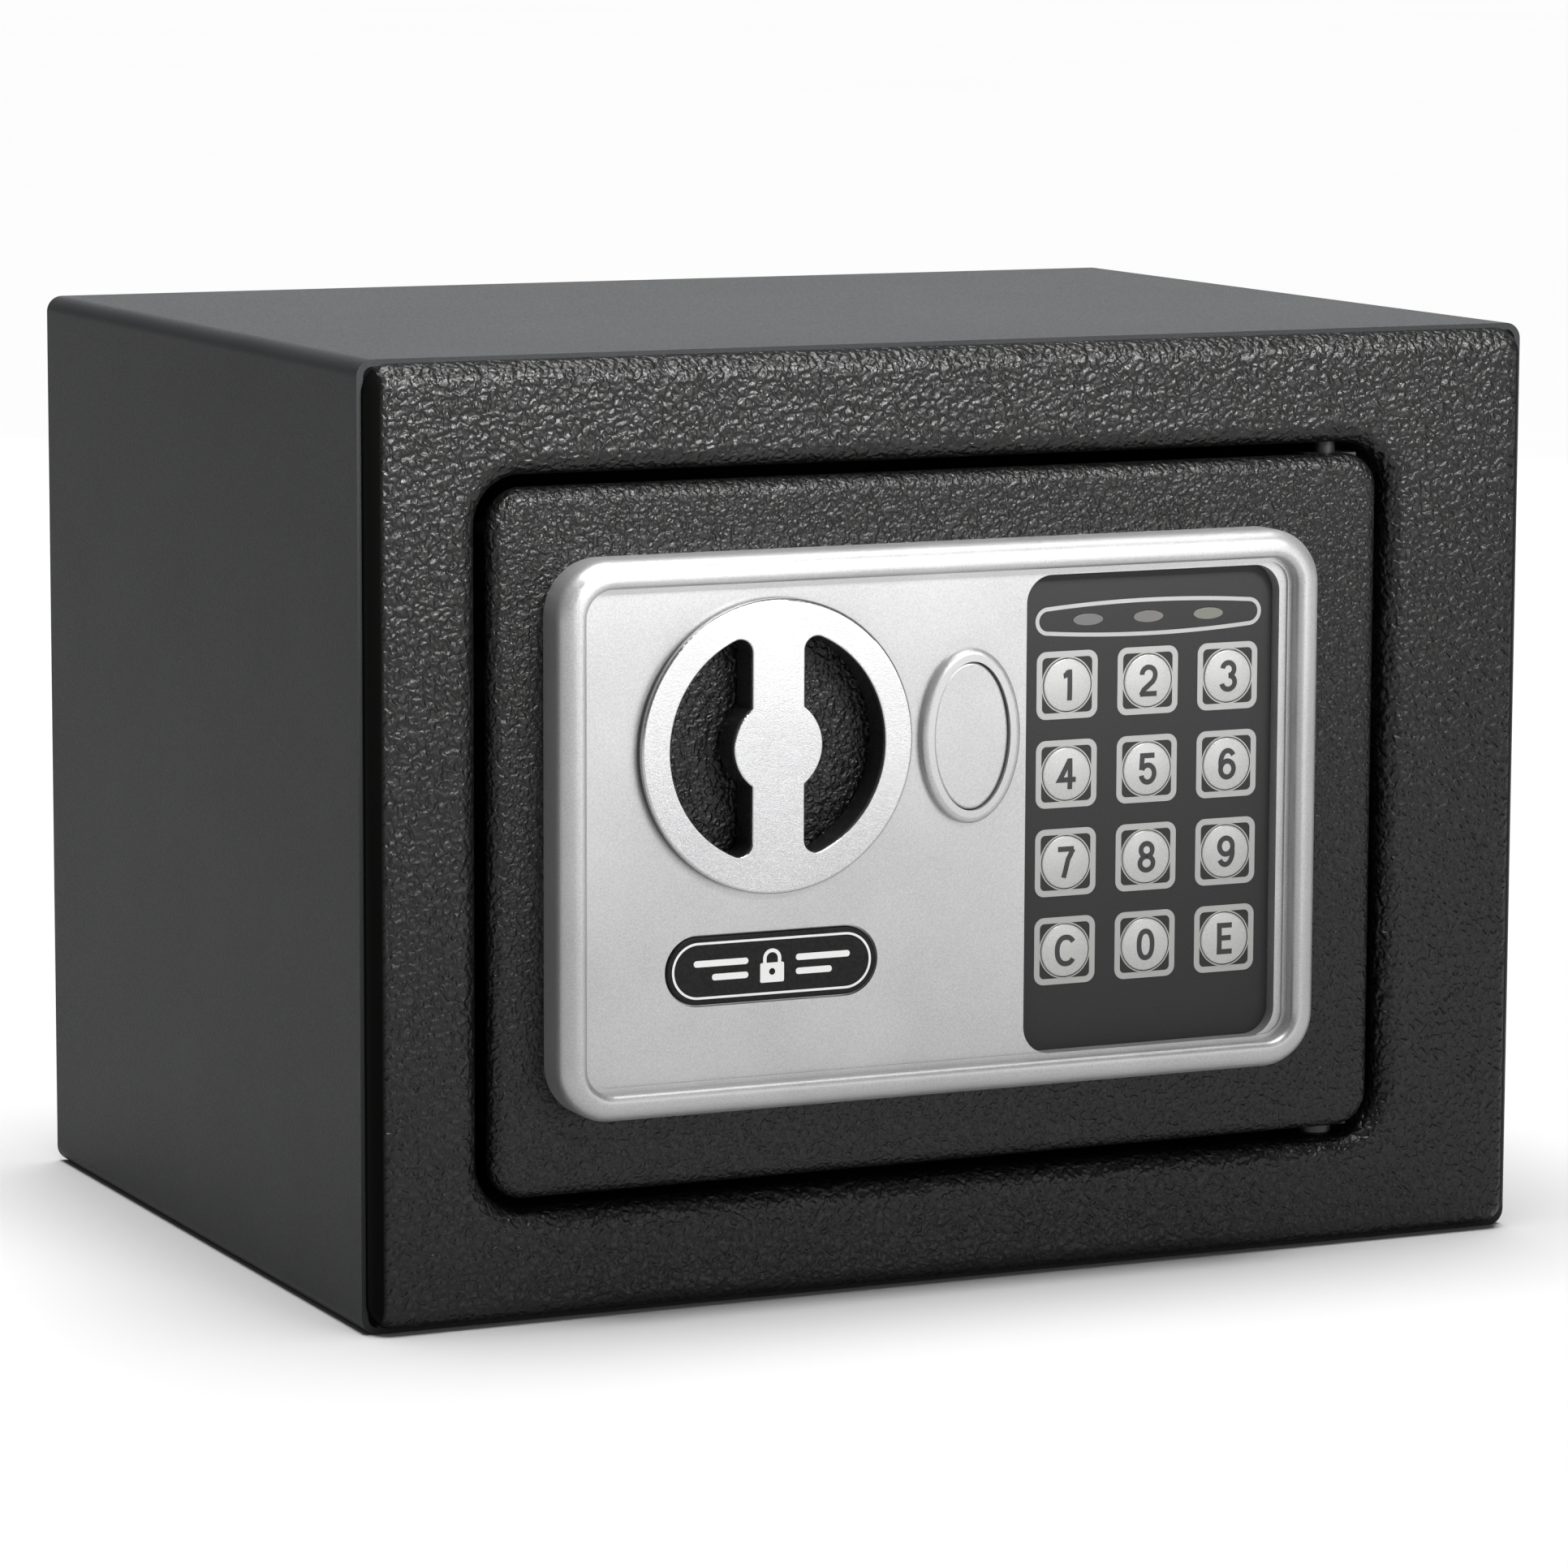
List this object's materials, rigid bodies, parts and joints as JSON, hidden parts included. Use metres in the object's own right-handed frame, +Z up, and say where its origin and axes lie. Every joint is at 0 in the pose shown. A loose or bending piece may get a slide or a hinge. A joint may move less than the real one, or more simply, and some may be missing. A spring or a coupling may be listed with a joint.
{
  "type": "electronic keypad safe",
  "caption": "Small steel box safe with a front door, a round turning knob, a keypad lock, sliding bolts and an emergency key lock behind an oval cover.",
  "frame": {"origin": "centre of the body's base, on the surface it stands on; the body reaches 85 mm to the front and to the back of it", "axes": "+X along the width, to the right seen from the front; +Y towards the back plate; +Z up"},
  "size_m": [0.23, 0.1785, 0.17],
  "materials": {
    "shell_paint": "fine sand-textured satin powder coat, dark grey",
    "grain_paint": "black crinkle powder coat with a leather-like grain, semi-gloss",
    "inner_paint": "satin black powder coat",
    "zinc_steel": "zinc-plated steel",
    "bolt_steel": "bright plated steel",
    "nylon": "natural nylon",
    "hinge_black": "black oxide steel and black nylon",
    "felt": "dark grey needle felt",
    "silver_plastic": "silver metallic lacquer on moulded plastic",
    "knob_silver": "bright silver metallised face",
    "black_plastic": "black moulded plastic",
    "badge_black": "black grained badge with a light printed line",
    "membrane": "charcoal printed membrane with light grey line work",
    "lamp_lens": "smoky translucent lens",
    "key_silver": "silver lacquered key cap with a dark printed legend",
    "board_green": "green circuit board",
    "dome_rubber": "grey silicone rubber",
    "coil_wrap": "lacquered copper winding under amber tape",
    "lock_brass": "machined brass",
    "contact_nickel": "nickel-plated spring steel",
    "cell_wrap": "plain printed cell wrap",
    "button_red": "red moulded plastic"
  },
  "bodies": {
    "cabinet": {"cabinet_shell": "shell_paint", "back_plate": "shell_paint", "front_frame": "grain_paint", "strike_plate": "inner_paint", "hinge_brackets": "hinge_black", "hinge_pins": "hinge_black", "hinge_washer": "hinge_black", "floor_mat": "felt"},
    "door": {"door_plate": "grain_paint", "door_pan": "inner_paint", "hinge_lugs": "hinge_black", "inner_cover": "inner_paint", "cover_screws": "zinc_steel", "face_plate": "silver_plastic", "face_plate_screws": "zinc_steel", "badge": "badge_black", "keypad_membrane": "membrane", "status_lenses": "lamp_lens", "status_leds": "lamp_lens", "switch_domes": "dome_rubber", "keypad_board": "board_green", "buzzer": "black_plastic", "knob_bush": "nylon", "guide_posts": "zinc_steel", "solenoid_frame": "zinc_steel", "solenoid_coil": "coil_wrap", "lock_body": "lock_brass", "lock_nut": "zinc_steel", "battery_box": "black_plastic", "battery_cells": "cell_wrap", "battery_contacts": "contact_nickel", "reset_switch": "black_plastic"},
    "knob": {"knob_body": "black_plastic", "knob_face": "knob_silver", "knob_spindle": "bolt_steel", "spindle_clip": "zinc_steel", "crank": "zinc_steel"},
    "boltwork": {"bolt_carrier": "zinc_steel", "lower_bolt": "bolt_steel", "upper_bolt": "bolt_steel"},
    "locking_pin": {"solenoid_plunger": "bolt_steel"},
    "override_cover": {"override_cover": "silver_plastic"},
    "lock_plug": {"lock_plug": "lock_brass", "lock_cam": "lock_brass"},
    "battery_cover": {"battery_cover": "black_plastic"},
    "reset_button": {"reset_button": "button_red"},
    "key_1": {"key_1": "key_silver"},
    "key_2": {"key_2": "key_silver"},
    "key_3": {"key_3": "key_silver"},
    "key_4": {"key_4": "key_silver"},
    "key_5": {"key_5": "key_silver"},
    "key_6": {"key_6": "key_silver"},
    "key_7": {"key_7": "key_silver"},
    "key_8": {"key_8": "key_silver"},
    "key_9": {"key_9": "key_silver"},
    "key_clear": {"key_clear": "key_silver"},
    "key_0": {"key_0": "key_silver"},
    "key_enter": {"key_enter": "key_silver"}
  },
  "joints": [
    {"name": "door_swing", "type": "hinge", "parent": "cabinet", "child": "door", "pos_m": [0.075, -0.079, 0.085], "axis": [0, 0, 1], "range_deg": [0, 95]},
    {"name": "knob_turn", "type": "hinge", "parent": "door", "child": "knob", "pos_m": [-0.0408, -0.09, 0.1009], "axis": [0, -1, 0], "range_deg": [0, 90]},
    {"name": "bolt_slide", "type": "slide", "parent": "door", "child": "boltwork", "axis": [-1, 0, 0], "range_m": [0, 0.016]},
    {"name": "locking_pin_rise", "type": "slide", "parent": "door", "child": "locking_pin", "axis": [0, 0, 1], "range_m": [0, 0.006]},
    {"name": "override_cover_pull", "type": "slide", "parent": "door", "child": "override_cover", "axis": [0, -1, 0], "range_m": [0, 0.012]},
    {"name": "override_key_turn", "type": "hinge", "parent": "door", "child": "lock_plug", "pos_m": [-0.0028, -0.08, 0.1006], "axis": [0, -1, 0], "range_deg": [0, 90]},
    {"name": "battery_cover_lift", "type": "slide", "parent": "door", "child": "battery_cover", "axis": [0, 1, 0], "range_m": [0, 0.03]},
    {"name": "reset_press", "type": "slide", "parent": "door", "child": "reset_button", "axis": [0, -1, 0], "range_m": [0, 0.002], "stiffness_N_per_m": 400, "springref_m": -0.001},
    {"name": "key_1_press", "type": "slide", "parent": "door", "child": "key_1", "axis": [0, 1, 0], "range_m": [0, 0.0006], "stiffness_N_per_m": 800, "springref_m": -0.0006},
    {"name": "key_2_press", "type": "slide", "parent": "door", "child": "key_2", "axis": [0, 1, 0], "range_m": [0, 0.0006], "stiffness_N_per_m": 800, "springref_m": -0.0006},
    {"name": "key_3_press", "type": "slide", "parent": "door", "child": "key_3", "axis": [0, 1, 0], "range_m": [0, 0.0006], "stiffness_N_per_m": 800, "springref_m": -0.0006},
    {"name": "key_4_press", "type": "slide", "parent": "door", "child": "key_4", "axis": [0, 1, 0], "range_m": [0, 0.0006], "stiffness_N_per_m": 800, "springref_m": -0.0006},
    {"name": "key_5_press", "type": "slide", "parent": "door", "child": "key_5", "axis": [0, 1, 0], "range_m": [0, 0.0006], "stiffness_N_per_m": 800, "springref_m": -0.0006},
    {"name": "key_6_press", "type": "slide", "parent": "door", "child": "key_6", "axis": [0, 1, 0], "range_m": [0, 0.0006], "stiffness_N_per_m": 800, "springref_m": -0.0006},
    {"name": "key_7_press", "type": "slide", "parent": "door", "child": "key_7", "axis": [0, 1, 0], "range_m": [0, 0.0006], "stiffness_N_per_m": 800, "springref_m": -0.0006},
    {"name": "key_8_press", "type": "slide", "parent": "door", "child": "key_8", "axis": [0, 1, 0], "range_m": [0, 0.0006], "stiffness_N_per_m": 800, "springref_m": -0.0006},
    {"name": "key_9_press", "type": "slide", "parent": "door", "child": "key_9", "axis": [0, 1, 0], "range_m": [0, 0.0006], "stiffness_N_per_m": 800, "springref_m": -0.0006},
    {"name": "key_clear_press", "type": "slide", "parent": "door", "child": "key_clear", "axis": [0, 1, 0], "range_m": [0, 0.0006], "stiffness_N_per_m": 800, "springref_m": -0.0006},
    {"name": "key_0_press", "type": "slide", "parent": "door", "child": "key_0", "axis": [0, 1, 0], "range_m": [0, 0.0006], "stiffness_N_per_m": 800, "springref_m": -0.0006},
    {"name": "key_enter_press", "type": "slide", "parent": "door", "child": "key_enter", "axis": [0, 1, 0], "range_m": [0, 0.0006], "stiffness_N_per_m": 800, "springref_m": -0.0006}
  ],
  "couplings": [
    {"joint": "knob_turn", "follows": "bolt_slide", "rad_per_m": 98.175},
    {"joint": "locking_pin_rise", "follows": "bolt_slide", "ratio": 0.375}
  ]
}
